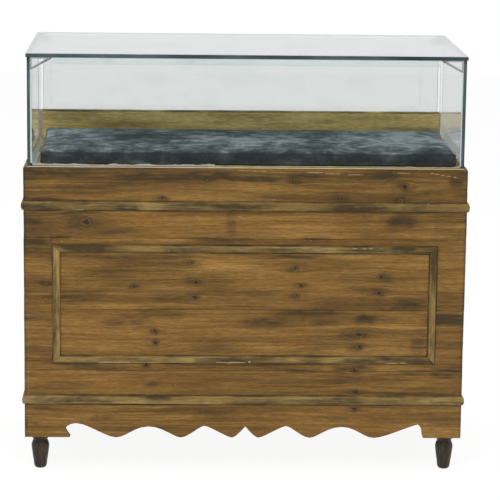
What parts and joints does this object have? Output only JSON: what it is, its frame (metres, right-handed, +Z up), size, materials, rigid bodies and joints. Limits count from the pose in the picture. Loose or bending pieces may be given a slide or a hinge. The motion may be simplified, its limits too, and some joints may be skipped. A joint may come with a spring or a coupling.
{
  "type": "jewelry display cabinet",
  "caption": "Rustic pine counter on turned feet with a scalloped apron, under a frameless glass showcase with a velvet pad, a hinged rear glass flap and rear storage doors.",
  "frame": {"origin": "on the floor, under the centre of the cabinet's bounding box", "axes": "+X to the right as a customer faces the front, +Y towards the staff side, +Z up"},
  "size_m": [1.2126, 0.6026, 1.1514],
  "materials": {
    "stained_pine": "brown oil-stained pine boards with open grain and knots, satin",
    "plain_pine": "plain unfinished pine",
    "dark_wood": "turned wood, dark stain, satin",
    "olive_moulding": "rounded pine moulding, olive-brown stain, worn along its edges",
    "olive_sill": "olive painted rail, satin",
    "clear_glass": "clear float glass with dark green polished edges",
    "velvet": "crushed grey-green velvet",
    "nickel": "nickel-plated metal, bright",
    "aged_brass": "brass, dulled with age",
    "clear_acrylic": "clear acrylic angle",
    "pale_seal": "pale soft glazing strip",
    "catch_plastic": "brown plastic magnetic catch"
  },
  "bodies": {
    "cabinet": {"deck_board": "plain_pine", "door_catch": "catch_plastic", "floor_board": "plain_pine", "front_apron": "stained_pine", "front_board_lower": "stained_pine", "front_board_top": "stained_pine", "front_board_upper": "stained_pine", "front_glass": "clear_glass", "front_left_leg": "dark_wood", "front_left_post": "plain_pine", "front_right_leg": "dark_wood", "front_right_post": "plain_pine", "glass_seal": "pale_seal", "joint_strip": "clear_acrylic", "left_corner_brace": "nickel", "left_flap_bracket": "nickel", "left_glass": "clear_glass", "left_lower_hinge_post_leaf": "aged_brass", "left_side_panel": "stained_pine", "left_upper_hinge_post_leaf": "aged_brass", "lock_body": "nickel", "lower_moulding_front": "olive_moulding", "lower_moulding_left": "olive_moulding", "lower_moulding_right": "olive_moulding", "panel_moulding_bottom": "olive_moulding", "panel_moulding_left": "olive_moulding", "panel_moulding_right": "olive_moulding", "panel_moulding_top": "olive_moulding", "rear_bottom_rail": "stained_pine", "rear_left_leg": "dark_wood", "rear_left_post": "plain_pine", "rear_right_leg": "dark_wood", "rear_right_post": "plain_pine", "rear_sill_rail": "olive_sill", "rear_top_rail": "stained_pine", "right_corner_brace": "nickel", "right_flap_bracket": "nickel", "right_glass": "clear_glass", "right_lower_hinge_post_leaf": "aged_brass", "right_side_panel": "stained_pine", "right_upper_hinge_post_leaf": "aged_brass", "storage_shelf": "plain_pine", "top_glass": "clear_glass", "upper_moulding_front": "olive_moulding", "upper_moulding_left": "olive_moulding", "upper_moulding_right": "olive_moulding", "velvet_pad": "velvet"},
    "flap": {"rear_glass_flap": "clear_glass", "left_flap_clamp": "nickel", "right_flap_clamp": "nickel", "flap_pull": "nickel"},
    "lock": {"lock_cam": "nickel"},
    "left_storage_door": {"left_door": "stained_pine", "left_door_knob": "dark_wood", "left_lower_hinge_door_leaf": "aged_brass", "left_upper_hinge_door_leaf": "aged_brass"},
    "right_storage_door": {"right_door": "stained_pine", "right_door_knob": "dark_wood", "right_lower_hinge_door_leaf": "aged_brass", "right_upper_hinge_door_leaf": "aged_brass"}
  },
  "joints": [
    {"name": "flap_hinge", "type": "hinge", "parent": "cabinet", "child": "flap", "pos_m": [0, 0.2616, 1.12832], "axis": [1, 0, 0], "range_deg": [0, 85]},
    {"name": "lock_turn", "type": "hinge", "parent": "cabinet", "child": "lock", "pos_m": [0.12, 0.2651, 0.8843], "axis": [0, -1, 0], "range_deg": [0, 90]},
    {"name": "left_door_hinge", "type": "hinge", "parent": "cabinet", "child": "left_storage_door", "pos_m": [-0.53805, 0.2793, 0.096], "axis": [0, 0, 1], "range_deg": [0, 110]},
    {"name": "right_door_hinge", "type": "hinge", "parent": "cabinet", "child": "right_storage_door", "pos_m": [0.53805, 0.2793, 0.096], "axis": [0, 0, -1], "range_deg": [0, 110]}
  ]
}
